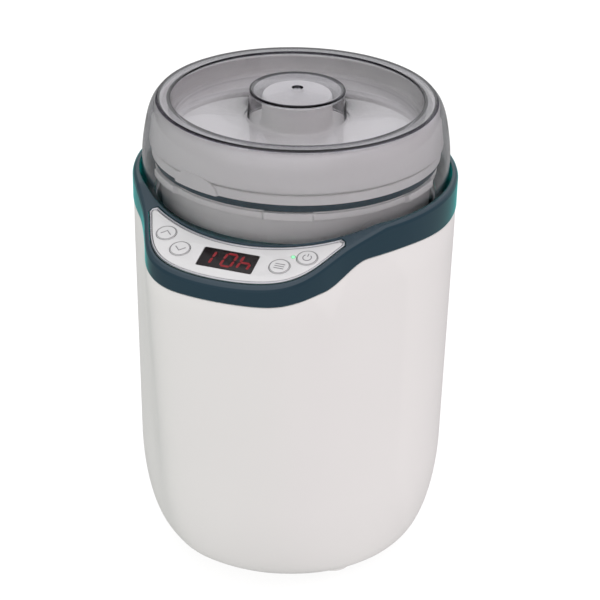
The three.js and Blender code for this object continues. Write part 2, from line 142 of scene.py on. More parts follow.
# ---- camera ----
def make_camera():
    """A long lens from the front right, above, leaning a little."""
    forward = Vector((
        -math.sin(CAMERA_AZIMUTH) * math.cos(CAMERA_ELEVATION),
        math.cos(CAMERA_AZIMUTH) * math.cos(CAMERA_ELEVATION),
        -math.sin(CAMERA_ELEVATION),
    ))
    level = Vector((math.cos(CAMERA_AZIMUTH), math.sin(CAMERA_AZIMUTH), 0))
    upright = level.cross(forward)
    right = math.cos(CAMERA_ROLL) * level + math.sin(CAMERA_ROLL) * upright
    up = math.cos(CAMERA_ROLL) * upright - math.sin(CAMERA_ROLL) * level
    eye = PLACE @ Vector(CAMERA_SPOT)
    turn = Matrix((right, up, -forward)).transposed().to_4x4()
    data = bpy.data.cameras.new("camera")
    data.sensor_width = CAMERA_SENSOR
    data.lens = CAMERA_LENS
    data.clip_start = 0.01
    data.clip_end = 50
    camera = new_object("camera", data)
    camera.matrix_world = Matrix.Translation(eye) @ turn
    bpy.context.scene.camera = camera


# ---- mesh helpers ----
def new_object(name, data):
    made = bpy.data.objects.new(name, data)
    bpy.context.collection.objects.link(made)
    return made


def tidy_mesh(mesh, sharp=32):
    """Merges doubles, turns faces outward and keeps edges sharper than the angle crisp."""
    work = bmesh.new()
    work.from_mesh(mesh)
    bmesh.ops.remove_doubles(work, verts=work.verts, dist=0.004)
    bmesh.ops.dissolve_degenerate(work, edges=work.edges, dist=0.001)
    bmesh.ops.recalc_face_normals(work, faces=work.faces)
    work.to_mesh(mesh)
    work.free()
    mesh.shade_smooth()
    mesh.set_sharp_from_angle(angle=math.radians(sharp))
    return mesh


def dress(mesh, name, body, look, replaced=(), matrix=PLACE):
    """Puts a millimetre mesh in the frame as a finished piece."""
    mesh.transform(matrix)
    mesh.update()
    piece = new_object(name, mesh)
    mesh.materials.clear()
    mesh.materials.append(MATERIALS[look])
    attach(piece, body)
    if replaced:
        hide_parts(*replaced)


def mesh_of(vertices, faces, sharp=32):
    mesh = bpy.data.meshes.new("part")
    mesh.from_pydata(vertices, [], faces)
    return tidy_mesh(mesh, sharp)


def rounded(corners, closed=True, steps=6):
    """A section through (r, z, radius) corners. Each corner is rounded by a short curve of so many steps."""
    points = []
    count = len(corners)
    for i, (r, z, radius) in enumerate(corners):
        here = Vector((r, z))
        if radius <= 0 or (not closed and i in (0, count - 1)):
            points.append(tuple(here))
            continue
        before = Vector(corners[i - 1][:2]) - here
        after = Vector(corners[(i + 1) % count][:2]) - here
        reach = 0.48 * min(before.length, after.length)
        before.normalize()
        after.normalize()
        half = min(max(before.angle(after, 0.0), 0.02), math.pi - 0.02) / 2
        tangent = min(radius / math.tan(half), reach)
        start, end = here + before * tangent, here + after * tangent
        for k in range(steps + 1):
            t = k / steps
            points.append(tuple(start * (1 - t) ** 2 + here * 2 * t * (1 - t) + end * t * t))
    return points


def eased(a, b, c, d, t):
    """A coordinate on the smooth curve that runs from b to c, with a and d as its neighbours."""
    square, cube = 2 * a - 5 * b + 4 * c - d, 3 * b - a - 3 * c + d
    return 0.5 * (2 * b + (c - a) * t + square * t ** 2 + cube * t ** 3)


def flowing(points, steps=6):
    """A smooth open curve through (r, z) points."""
    ends = [points[0], *points, points[-1]]
    curve = []
    for four in zip(ends, ends[1:], ends[2:], ends[3:]):
        for k in range(steps):
            curve.append(tuple(eased(*values, k / steps) for values in zip(*four)))
    return [*curve, points[-1]]


def ring(section_at, segments=360, sharp=32):
    """A ring whose closed section depends on the angle from the front, in degrees."""
    vertices, faces = [], []
    count = len(section_at(0))
    for i in range(segments):
        angle = 360 * i / segments
        signed = angle - 360 if angle > 180 else angle
        direction = math.radians(angle)
        for r, z in section_at(signed):
            vertices.append((r * math.sin(direction), -r * math.cos(direction), z))
    for i in range(segments):
        here, there = i * count, (i + 1) % segments * count
        for j in range(count):
            k = (j + 1) % count
            faces.append((here + j, there + j, there + k, here + k))
    return mesh_of(vertices, faces, sharp)


def turned(section, segments=180, sharp=32):
    """A solid of revolution. The section starts and ends on the axis, or is a closed loop off it."""
    return ring(lambda angle: section, segments, sharp)


def slab(loops, bottom, top, bevel=0.0):
    """A flat outline, with holes, raised from one height to another with rounded edges."""
    curve = bpy.data.curves.new("slab", "CURVE")
    curve.dimensions = "2D"
    curve.fill_mode = "BOTH"
    curve.extrude = (top - bottom) / 2 - bevel
    curve.bevel_depth = bevel
    curve.bevel_resolution = 2
    curve.offset = -bevel
    for loop in loops:
        spline = curve.splines.new("POLY")
        spline.points.add(len(loop) - 1)
        for point, (x, y) in zip(spline.points, loop):
            point.co = (x, y, 0, 1)
        spline.use_cyclic_u = True
    source = new_object("slab", curve)
    graph = bpy.context.evaluated_depsgraph_get()
    mesh = bpy.data.meshes.new_from_object(source.evaluated_get(graph))
    bpy.data.objects.remove(source)
    bpy.data.curves.remove(curve)
    mesh.transform(Matrix.Translation((0, 0, (bottom + top) / 2)))
    return tidy_mesh(mesh)


def cut(mesh, cutters):
    """The mesh with other meshes taken away from it."""
    base = new_object("base", mesh)
    tools = [new_object("tool", cutter) for cutter in cutters]
    for tool in tools:
        boolean = base.modifiers.new("cut", "BOOLEAN")
        boolean.object = tool
        boolean.operation = "DIFFERENCE"
        boolean.solver = "EXACT"
    graph = bpy.context.evaluated_depsgraph_get()
    result = bpy.data.meshes.new_from_object(base.evaluated_get(graph))
    for used in [base, *tools]:
        bpy.data.objects.remove(used)
    return tidy_mesh(result)


def circle(radius, x=0.0, y=0.0, steps=64):
    turns = [2 * math.pi * i / steps for i in range(steps)]
    return [(x + radius * math.cos(t), y + radius * math.sin(t)) for t in turns]


def rectangle(width, depth, radius=0.8):
    w, d = width / 2 - radius, depth / 2 - radius
    corners = ((w, d, 0), (-w, d, 90), (-w, -d, 180), (w, -d, 270))
    turns = [(x, y, math.radians(start + step)) for x, y, start in corners for step in range(0, 91, 15)]
    return [(x + radius * math.cos(t), y + radius * math.sin(t)) for x, y, t in turns]


def smoothstep(value, low, high):
    """0 below the low end, 1 above the high end, and a soft rise between them."""
    t = min(max((value - low) / (high - low), 0), 1)
    return t * t * (3 - 2 * t)


# ---- the body's outline, as in the CAD ----
def chin(angle):
    """How far the body reaches past its round wall under the panel."""
    return CHIN_REACH / (1 + (abs(angle) / CHIN_HALF_ANGLE) ** CHIN_SHARPNESS)


def outline(angle):
    """The body's radius at the collar."""
    return WALL_TOP_R + chin(angle)


def chin_fade(z):
    """The share of the chin's reach that is left at a height, down to none near the base."""
    return math.sqrt(min(max((z - CHIN_ROOT_Z) / (CHIN_FULL_Z - CHIN_ROOT_Z), 0), 1))


def band_edge(angle):
    """The height of the collar's lower edge: it dips under the panel and rises at the sides."""
    a = abs(angle)
    at_front, step, rise, sag = 193.2, 2.6, 9.2, 2.6
    climb = step * smoothstep(a, 12, 28) + rise * smoothstep(a, 28, 44)
    return at_front + climb - sag * smoothstep(a, 56, 90)


def collar_top(r, angle):
    """The height of the collar's top face: level, or in the plane of the panel where that is lower."""
    forward = r * math.cos(math.radians(angle))
    face = PANEL_Z - (forward - PANEL_FRONT) * math.tan(PANEL_TILT)
    return min(COLLAR_TOP_Z, face)


def wall_radius(z):
    """The round wall's radius at a height, from the base's rounding up to the collar."""
    share = (z - CORNER_TOP_Z) / (CHIN_FULL_Z - CORNER_TOP_Z)
    return BASE_R + CORNER_WIDTH + share * (WALL_TOP_R - BASE_R - CORNER_WIDTH)


def base_corner(steps, inset, floor):
    """The large rounding at the base, as a quarter of a superellipse."""
    points = []
    for i in range(steps + 1):
        t = i / steps * math.pi / 2
        across = math.sin(t) ** (2 / CORNER_POWER)
        down = max(math.cos(t), 0) ** (2 / CORNER_POWER)
        points.append((BASE_R - inset + CORNER_WIDTH * across, CORNER_TOP_Z - (CORNER_TOP_Z - floor) * down))
    return points


def polar(r, angle):
    """The (x, y) place at a radius and an angle from the front."""
    return r * math.sin(math.radians(angle)), -r * math.cos(math.radians(angle))


def crescent(grow, half_angle=FASCIA_HALF_ANGLE):
    """The panel's outline in its own plane, grown or shrunk all round."""
    reach = half_angle + grow * 0.6
    inner = FASCIA_INNER_R - grow

    def outer_at(angle):
        return max(outline(angle) - FASCIA_INSET + grow, inner + 1)

    def across(steps):
        return [reach * (2 * i / steps - 1) for i in range(steps + 1)]

    def tip(side):
        return polar((inner + outer_at(reach)) / 2, side * (reach + 0.7))

    points = [polar(outer_at(a), a) for a in across(96)] + [tip(1)]
    points += [polar(inner, a) for a in reversed(across(72))] + [tip(-1)]
    return [(x, (PANEL_FRONT + y) / math.cos(PANEL_TILT)) for x, y in points]


# ---- shader helpers ----
def feed(links, socket, value):
    """Links a socket to another, or sets it to a plain value."""
    if isinstance(value, bpy.types.NodeSocket):
        links.new(value, socket)
    else:
        socket.default_value = value


def arithmetic(nodes, links, operation, *values):
    """The result of a math node."""
    made = nodes.new("ShaderNodeMath")
    made.operation = operation
    for socket, value in zip(made.inputs, values):
        feed(links, socket, value)
    return made.outputs["Value"]


def vector_arithmetic(nodes, links, operation, *values):
    """A vector math node."""
    made = nodes.new("ShaderNodeVectorMath")
    made.operation = operation
    for socket, value in zip(made.inputs, values):
        feed(links, socket, value)
    return made


def mixed(nodes, links, factor, *colors):
    """Two colours mixed by a factor from 0 to 1."""
    made = nodes.new("ShaderNodeMix")
    made.data_type = "RGBA"
    feed(links, made.inputs["Factor"], factor)
    for name, color in zip("AB", colors):
        plain = not isinstance(color, bpy.types.NodeSocket)
        feed(links, made.inputs[name], (*color, 1) if plain else color)
    return made.outputs["Result"]


def blend(nodes, links, source, low, high, *colors):
    """A soft change from one colour to another as a value runs from low to high."""
    ramp = nodes.new("ShaderNodeMapRange")
    ramp.interpolation_type = "SMOOTHSTEP"
    ramp.inputs["From Min"].default_value = low
    ramp.inputs["From Max"].default_value = high
    links.new(source, ramp.inputs["Value"])
    return mixed(nodes, links, ramp.outputs["Result"], *colors)


def noise(nodes, links, scale, detail=2.0):
    """A noise that stays fixed to the object."""
    made = nodes.new("ShaderNodeTexNoise")
    made.inputs["Scale"].default_value = scale
    made.inputs["Detail"].default_value = detail
    links.new(nodes.new("ShaderNodeTexCoord").outputs["Object"], made.inputs["Vector"])
    return made.outputs["Fac"]


def relief(nodes, links, texture, depth):
    """Fine relief of a depth in millimetres, on the material's own shader."""
    bump = nodes.new("ShaderNodeBump")
    bump.inputs["Distance"].default_value = depth * MM
    links.new(texture, bump.inputs["Height"])
    links.new(bump.outputs["Normal"], nodes["Principled BSDF"].inputs["Normal"])


# ---- materials ----
def material(name, color, roughness, *, metallic=0.0, grain=0.25, depth=0.004, mottle=0.02, **sockets):
    """A moulded surface: fine grain in the relief and soft changes in gloss and colour."""
    made = bpy.data.materials.new(name)
    made.use_nodes = True
    nodes, links = made.node_tree.nodes, made.node_tree.links
    shader = nodes["Principled BSDF"]
    shader.inputs["Metallic"].default_value = metallic
    for socket, value in sockets.items():
        shader.inputs[socket.replace("_", " ")].default_value = value
    cloud = noise(nodes, links, 22, 4)
    darker = [c * (1 - mottle) for c in color]
    lighter = [min(c * (1 + mottle), 1) for c in color]
    links.new(mixed(nodes, links, cloud, darker, lighter), shader.inputs["Base Color"])
    gloss = nodes.new("ShaderNodeMapRange")
    gloss.inputs["To Min"].default_value = max(roughness - 0.05, 0)
    gloss.inputs["To Max"].default_value = min(roughness + 0.05, 1)
    links.new(cloud, gloss.inputs["Value"])
    links.new(gloss.outputs["Result"], shader.inputs["Roughness"])
    relief(nodes, links, noise(nodes, links, 1 / (grain * MM)), depth)
    return made


def paint_glow_and_top_highlight(made, inner_glow, top_highlight):
    """Paints a greener glow on the surfaces that face the body's axis, standing in for light through the
    plastic, and a painted highlight on the land on top.
    """
    nodes, links = made.node_tree.nodes, made.node_tree.links
    base_color = nodes["Principled BSDF"].inputs["Base Color"]
    normal = nodes.new("ShaderNodeNewGeometry").outputs["Normal"]
    spot = nodes.new("ShaderNodeTexCoord").outputs["Object"]
    from_axis = vector_arithmetic(nodes, links, "SUBTRACT", spot, (AXIS.x, AXIS.y, 0)).outputs["Vector"]
    level = vector_arithmetic(nodes, links, "MULTIPLY", from_axis, (1, 1, 0)).outputs["Vector"]
    outward = vector_arithmetic(nodes, links, "NORMALIZE", level).outputs["Vector"]
    facing = vector_arithmetic(nodes, links, "DOT_PRODUCT", outward, normal).outputs["Value"]
    radius = vector_arithmetic(nodes, links, "LENGTH", level).outputs["Value"]
    past_seat = arithmetic(nodes, links, "GREATER_THAN", radius, LID_SEAT_R * MM)
    slope = nodes.new("ShaderNodeSeparateXYZ")
    links.new(normal, slope.inputs["Vector"])
    # Mask of the painted highlight: faces that look up, outside the lid's seat.
    top_highlight_mask = arithmetic(nodes, links, "MULTIPLY", slope.outputs["Z"], past_seat)
    with_top_highlight = blend(nodes, links, top_highlight_mask, 0.2, 0.8, base_color.links[0].from_socket, top_highlight)
    # Painted glow: a greener colour on faces that turn towards the axis.
    links.new(blend(nodes, links, facing, 0.05, -0.5, with_top_highlight, inner_glow), base_color)
    return made


def painted_lid_edge_shade(nodes, links):
    """How much painted shade darkens the lid's edges and its flat rim, standing in for light trapped in the
    plastic.
    """
    split = nodes.new("ShaderNodeSeparateXYZ")
    links.new(nodes.new("ShaderNodeTexCoord").outputs["Object"], split.inputs["Vector"])
    squares = []
    for axis, middle in (("X", AXIS.x), ("Y", AXIS.y)):
        away = arithmetic(nodes, links, "SUBTRACT", split.outputs[axis], middle)
        squares.append(arithmetic(nodes, links, "MULTIPLY", away, away))
    radius = arithmetic(nodes, links, "SQRT", arithmetic(nodes, links, "ADD", *squares))
    total = 0.0
    for middle, half, height, strength in PAINTED_LID_EDGE_SHADE:
        near = arithmetic(nodes, links, "COMPARE", radius, middle * MM, half * MM)
        above = arithmetic(nodes, links, "GREATER_THAN", split.outputs["Z"], height * MM)
        here = arithmetic(nodes, links, "MULTIPLY", near, above)
        total = arithmetic(nodes, links, "ADD", total, arithmetic(nodes, links, "MULTIPLY", here, strength))
    return total


def clear_smoke(name):
    """Clear plastic, tinted by how far light travels inside it, with painted shade on its edges and flat rim.
    """
    made = bpy.data.materials.new(name)
    made.use_nodes = True
    nodes, links = made.node_tree.nodes, made.node_tree.links
    shader = nodes["Principled BSDF"]
    # Painted shade: the base colour turns dark where the lid's edges and flat rim trap light.
    edge_shade_color = mixed(nodes, links, painted_lid_edge_shade(nodes, links), (1, 1, 1), (0.05, 0.045, 0.06))
    links.new(edge_shade_color, shader.inputs["Base Color"])
    shader.inputs["Roughness"].default_value = 0.015
    shader.inputs["IOR"].default_value = 1.5
    shader.inputs["Transmission Weight"].default_value = 1
    relief(nodes, links, noise(nodes, links, 90), 0.004)
    absorption = nodes.new("ShaderNodeVolumeAbsorption")
    absorption.inputs["Color"].default_value = (0.32, 0.295, 0.375, 1)
    absorption.inputs["Density"].default_value = 100
    links.new(absorption.outputs["Volume"], nodes["Material Output"].inputs["Volume"])
    return made


def glowing(name, color, emission, strength):
    """A surface that gives off a little light of its own."""
    return material(name, color, 0.3, Emission_Color=(*emission, 1), Emission_Strength=strength)


def collar_plastic(name):
    """Dark blue-green plastic with a soft bloom, a painted greener glow inside and a painted highlight that
    makes the top greyer.
    """
    body = material(
        name, (0.013, 0.039, 0.059), 0.33, grain=0.9, depth=0.003, mottle=0.05, Specular_IOR_Level=0.35,
        Sheen_Weight=1.0, Sheen_Roughness=0.28, Sheen_Tint=(0.0, 0.50, 0.47, 1),
    )
    # Painted glow colour for the inside, then painted highlight colour for the top land.
    return paint_glow_and_top_highlight(body, (0.0, 0.075, 0.070), (0.036, 0.058, 0.076))


# Colour, roughness and surface of each plain look.
PLAIN_LOOKS = {
    "shell_plastic": ((0.70, 0.69, 0.683), 0.42, {"grain": 0.5, "depth": 0.006, "mottle": 0.008}),
    "fascia_plastic": ((0.58, 0.585, 0.59), 0.3, {"grain": 0.4, "depth": 0.003, "mottle": 0.01}),
    "bezel_metal": ((0.80, 0.80, 0.82), 0.26, {"metallic": 0.9, "grain": 1.5, "depth": 0.002}),
    "display_lens": ((0.010, 0.006, 0.006), 0.08, {"depth": 0.001}),
    "print_grey": ((0.20, 0.20, 0.21), 0.5, {}),
    "cap_plastic": ((0.87, 0.87, 0.865), 0.35, {"grain": 0.6, "depth": 0.0015, "mottle": 0.01}),
    "container_plastic": ((0.91, 0.91, 0.90), 0.4, {"grain": 0.6, "mottle": 0.01}),
    "seal_rubber": ((0.018, 0.060, 0.085), 0.55, {"grain": 0.3, "depth": 0.006}),
    "well_aluminium": ((0.62, 0.63, 0.64), 0.34, {"metallic": 1.0, "grain": 0.7, "depth": 0.006}),
    "dark_rubber": ((0.035, 0.035, 0.037), 0.7, {"grain": 0.3, "depth": 0.01}),
    "felt": ((0.70, 0.66, 0.55), 0.95, {"grain": 0.8, "depth": 0.2, "mottle": 0.1}),
    "circuit_board": ((0.02, 0.13, 0.06), 0.35, {"grain": 1.2, "depth": 0.01, "mottle": 0.15}),
    "component_black": ((0.018, 0.018, 0.019), 0.5, {"grain": 0.3}),
    "component_white": ((0.70, 0.70, 0.67), 0.45, {"grain": 0.3}),
    "steel": ((0.48, 0.49, 0.50), 0.3, {"metallic": 1.0, "grain": 0.5}),
    "wire_red": ((0.36, 0.02, 0.015), 0.4, {"grain": 0.4}),
    "wire_grey": ((0.60, 0.60, 0.57), 0.45, {"grain": 0.4}),
}
MATERIALS = {
    name: material(name, color, roughness, **surface)
    for name, (color, roughness, surface) in PLAIN_LOOKS.items()
}
MATERIALS["collar_plastic"] = collar_plastic("collar_plastic")
MATERIALS["lid_clear"] = clear_smoke("lid_clear")
MATERIALS["indicator"] = glowing("indicator", (0.25, 0.7, 0.38), (0.3, 1.0, 0.5), 0.45)
MATERIALS["digits_red"] = glowing("digits_red", (0.05, 0.002, 0.003), (0.22, 0.008, 0.012), 0.9)


def dress_cad_nodes():
    """Gives every CAD node the material of its slot."""
    for entry in frame["record"]["subparts"]:
        mesh = frame["nodes"][entry["node"]].data
        mesh.materials.clear()
        mesh.materials.append(MATERIALS[entry["material_slot"]])
        mesh.shade_smooth()
        mesh.set_sharp_from_angle(angle=math.radians(40))


# ---- housing ----
def shell_section(angle):
    """The shell's section: out along the base, up the outside, over the rim and down the inside."""
    floor = FOOT_HEIGHT + 3
    mouth = BASE_R - 3.1
    rise = CHIN_FULL_Z - CORNER_TOP_Z
    levels = [CORNER_TOP_Z + rise * i / 14 for i in range(1, 15)]
    reach = chin(angle)
    outside = base_corner(26, 0, FOOT_HEIGHT)
    outside += [(wall_radius(z), z) for z in levels]
    inside = base_corner(8, WALL_THICKNESS, floor)
    inside += [(wall_radius(z) - WALL_THICKNESS, z) for z in levels[1::2]]
    top = band_edge(angle) - GAP
    outer, inner = outline(angle), outline(angle) - WALL_THICKNESS
    return [
        (mouth, FOOT_HEIGHT),
        *[(r + reach * chin_fade(z), z) for r, z in outside],
        (outer, top - 0.5), (outer - 0.12, top - 0.15), (outer - 0.45, top), (inner, top),
        *[(r + reach * chin_fade(z), z) for r, z in reversed(inside)],
        (mouth, floor),
    ]


def make_shell():
    """The outer shell, with a hole low at the rear for the gland."""
    hole_r, near, far = GLAND_R + GAP, -6, 30
    hole = turned([(0, near), (hole_r, near), (hole_r, far), (0, far)], 48)
    hole.transform(Matrix.Translation((0, 66, GLAND_Z)) @ Matrix.Rotation(-math.pi / 2, 4, "X"))
    dress(cut(ring(shell_section, 480), [hole]), "shell", "housing", "shell_plastic", ["outer_shell"])


def make_gland():
    flange_r, bore_r, length = 8, 3.2, 12
    section = rounded([
        (bore_r, 0, 0.3), (flange_r, 0, 0.4), (flange_r, 1.5, 0.3), (GLAND_R, 1.5, 0.1),
        (GLAND_R, length, 0.6), (bore_r, length, 0.6),
    ])
    matrix = PLACE @ Matrix.Translation((0, 69.3, GLAND_Z)) @ Matrix.Rotation(-math.pi / 2, 4, "X")
    dress(turned(section, 64), "gland", "housing", "dark_rubber", ["cord_gland"], matrix)


def make_feet():
    """Four cups under the base, each with a rubber pad in it."""
    seat = FOOT_HEIGHT - GAP
    recess_r, recess_z, lip_z = PAD_R + GAP, 2.4, 0.8
    cup = rounded([
        (0, recess_z, 0), (recess_r, recess_z, 0.1), (recess_r, lip_z, 0.1), (FOOT_R - 0.3, lip_z, 1.2),
        (FOOT_R, seat, 0.2), (0, seat, 0),
    ], closed=False)
    pad_top = recess_z - GAP
    pad = rounded([(0, 0, 0), (PAD_R, 0, 0.6), (PAD_R, pad_top, 0.1), (0, pad_top, 0)], closed=False)
    for corner, angle in (("front_right", 45), ("rear_right", 135), ("rear_left", -135), ("front_left", -45)):
        spot = PLACE @ Matrix.Translation((*polar(FOOT_CIRCLE_R, angle), 0))
        dress(turned(cup, 64), f"foot_cup_{corner}", "housing", "shell_plastic", [f"foot_{corner}"], spot)
        dress(turned(pad, 64), f"foot_sole_{corner}", "housing", "dark_rubber", [f"foot_pad_{corner}"], spot)


# ---- collar and control panel ----
def collar_section(angle):
    """The collar's section: a tongue behind the shell's rim, the outer band, the top and the lid's seat."""
    edge = band_edge(angle)
    outer = outline(angle) + BAND_OVERHANG
    tongue = outer - BAND_OVERHANG - WALL_THICKNESS - GAP - 0.1
    back = tongue - 1.8
    tongue_low = edge - 5
    underside = min(LID_SEAT_Z - 3, collar_top(outer - 5, angle) - 5)
    top = collar_top(outer - 0.6, angle)
    return rounded([
        (back, tongue_low, 0.2),
        (tongue, tongue_low, 0.2),
        (tongue, edge, 0),
        (outer, edge, 0.6),
        (outer, top - 2.6, 1.2),
        (outer - 0.5, top - 1.1, 0.9),
        (outer - 1.7, top, 1.2),
        (LID_SEAT_R, collar_top(LID_SEAT_R, angle), 0.5),
        (LID_SEAT_R, LID_SEAT_Z, 0.2),
        (WELL_MOUTH_R, LID_SEAT_Z, 0.5),
        (WELL_MOUTH_R, LID_SEAT_Z - 3, 0.3),
        (back, underside, 0.3),
    ])


def make_collar():
    """The collar, with a pocket for the panel and a window through it for the buttons."""
    pocket = slab([crescent(BEZEL_WIDTH + 2 * GAP + 0.1)], -FASCIA_THICKNESS - 0.7, 8)
    window = slab([crescent(-1.8, 33)], -14, 8)
    for tool in (pocket, window):
        tool.transform(PANEL_ON_BODY)
    mesh = cut(ring(collar_section, 480), [pocket, window])
    dress(mesh, "collar_ring", "housing", "collar_plastic", ["collar"])


def make_fascia():
    """The sheet with its openings, the trim round it, the display's glass and the status light."""
    back = -FASCIA_THICKNESS
    holes = [circle(BUTTON_R + GAP, x, y) for x, y in BUTTONS.values()]
    holes.append(circle(STATUS_LIGHT_R + GAP, *STATUS_LIGHT, 32))
    holes.append(rectangle(DISPLAY[0] + 2 * GAP, DISPLAY[1] + 2 * GAP))
    sheet = slab([crescent(0), *holes], back, 0, 0.18)
    dress(sheet, "fascia_sheet", "housing", "fascia_plastic", ["fascia"], PANEL)
    trim = slab([crescent(BEZEL_WIDTH + 0.1), crescent(0.3)], back, 0.3, 0.45)
    dress(trim, "bezel", "housing", "bezel_metal", ["panel_bezel"], PANEL)
    glass = slab([rectangle(*DISPLAY)], back, 0, 0.15)
    dress(glass, "display_glass", "housing", "display_lens", ["display_window"], PANEL)
    low, high = -5.4, 0.15
    section = [(0, low, 0), (STATUS_LIGHT_R, low, 0.1), (STATUS_LIGHT_R, high, 0.4), (0, high, 0)]
    pipe = turned(rounded(section, closed=False), 32)
    spot = PANEL @ Matrix.Translation((*STATUS_LIGHT, 0))
    dress(pipe, "status_light", "housing", "indicator", ["status_light_pipe"], spot)


# Each segment's place, in widths across and half heights up, and whether it stands upright.
SEGMENTS = {
    "a": (0, 1, False), "b": (0.5, 0.5, True), "c": (0.5, -0.5, True), "d": (0, -1, False),
    "e": (-0.5, -0.5, True), "f": (-0.5, 0.5, True), "g": (0, 0, False),
}


def segment_bar(length, stroke, upright):
    """One segment: a bar with pointed ends."""
    far, half = length / 2 - stroke * 0.62, stroke / 2
    bar = [(-far, -half), (far, -half), (far + half, 0), (far, half), (-far, half), (-far - half, 0)]
    return [(-y, x) for x, y in bar] if upright else bar


def make_digits():
    """Seven-segment figures: ten, and the hour sign, leaning a little."""
    height, width, stroke = 9.0, 5.3, 1.35
    lean = math.tan(math.radians(6))
    loops = []
    for middle, lit in ((-10.6, "bc"), (0.6, "abcdef"), (9.2, "cefg")):
        for segment in lit:
            across, up, upright = SEGMENTS[segment]
            x0, y0 = across * width, up * height / 2
            bar = segment_bar(height / 2 if upright else width, stroke, upright)
            loops.append([(middle + x0 + x + (y0 + y) * lean, y0 + y) for x, y in bar])
    dress(slab(loops, -0.1, 0.04), "display_digits", "housing", "digits_red", (), PANEL)


def stroke(points, width):
    """The outline of an open drawn line of even width."""
    left, right = [], []
    for i, point in enumerate(points):
        here = Vector(point)
        into = (here - Vector(points[i - 1])).normalized() if i else None
        out = (Vector(points[i + 1]) - here).normalized() if i < len(points) - 1 else None
        along = ((into or out) + (out or into)).normalized()
        spread = width / 2 / max(along.dot(out or into), 0.5)
        side = Vector((-along.y, along.x)) * spread
        left.append(tuple(here + side))
        right.append(tuple(here - side))
    return left + right[::-1]


def arc(radius, start, end, steps=36):
    turns = [math.radians(start + (end - start) * i / steps) for i in range(steps + 1)]
    return [(radius * math.cos(t), radius * math.sin(t)) for t in turns]


def button_marks(name):
    """The printed symbol on each button, as outlines round the button's centre."""
    line = 0.5
    if name == "up":
        return [stroke([(-2.7, -1.1), (0, 1.5), (2.7, -1.1)], line)]
    if name == "down":
        return [stroke([(-2.7, 1.1), (0, -1.5), (2.7, 1.1)], line)]
    if name == "set":
        return [stroke([(-2.5, y), (2.5, y)], line) for y in (1.5, 0, -1.5)]
    return [stroke(arc(2.1, 128, 412), line), stroke([(0, 0.7), (0, 2.7)], line)]


def make_buttons():
    """Four keys, each with a flange behind the fascia, a plunger and a printed mark."""
    top = 0.2
    flange_r, flange_low, flange_top = 5.6, -3.1, -FASCIA_THICKNESS - GAP
    plunger_r, plunger_low = 2, -4.6
    section = rounded([
        (0, plunger_low, 0), (plunger_r, plunger_low, 0.3), (plunger_r, flange_low, 0.2),
        (flange_r, flange_low, 0.2), (flange_r, flange_top, 0.2), (BUTTON_R, flange_top, 0),
        (BUTTON_R, top, 0.15), (0, top + 0.08, 0),
    ], closed=False)
    for name, (x, y) in BUTTONS.items():
        spot = PANEL @ Matrix.Translation((x, y, 0))
        body = f"button_{name}"
        dress(turned(section, 96), f"key_{name}", body, "fascia_plastic", [body], spot)
        marks = [circle(BUTTON_R - 0.17, steps=96), circle(BUTTON_R - 0.45, steps=96), *button_marks(name)]
        dress(slab(marks, top - 0.05, top + 0.12), f"mark_{name}", body, "print_grey", (), spot)


# ---- well, container, cap and lid ----
def make_well():
    """The metal liner: a deep pan of thin sheet with a flange at its mouth."""
    sheet = 1.3
    floor, mouth = CONTAINER_BASE_Z - GAP, 205.3
    section = rounded([
        (0, floor - sheet, 0), (63.5, floor - sheet, 6), (68.8, 63, 8), (74, mouth - sheet, 0.6),
        (79.5, mouth - sheet, 0.2), (79.5, mouth, 0.5), (72.8, mouth, 1.5), (67.5, 63.6, 7), (63, floor, 5),
        (0, floor, 0),
    ], closed=False)
    dress(turned(section, 240), "well_liner", "housing", "well_aluminium", ["inner_well"])


def lug(angle):
    """1 on a lug, 0 between lugs."""
    spacing = 360 / LUG_COUNT
    apart = (angle - 17 + spacing / 2) % spacing - spacing / 2
    return 1 - smoothstep(abs(apart), 9.2, 9.9)


def container_section(angle):
    """The container's section: a thin tub with a flange under its rim, which reaches out at the lugs."""
    base, flange, rim = CONTAINER_BASE_Z, CONTAINER_FLANGE_Z, CONTAINER_RIM_Z
    floor = base + 2.2
    on = lug(angle)
    reach = 74.2 + LUG_REACH * on
    shoulder = rim - 0.9 * (1 - on)
    return rounded([
        (61, floor, 3), (CORE_R, floor, 0), (CORE_R, base, 0), (62, base, 2.5), (66, 64, 3),
        (71.8, flange, 0.6), (reach, flange + 0.6 * on, 0.5), (reach, shoulder, 0.5),
        (73.2, shoulder, 0.3), (73, rim, 0.2), (69.8, rim, 0.5), (69.8, flange, 3), (64, 66, 3),
    ])


def make_container():
    dress(ring(container_section, 720), "tub", "container", "container_plastic", ["container"])


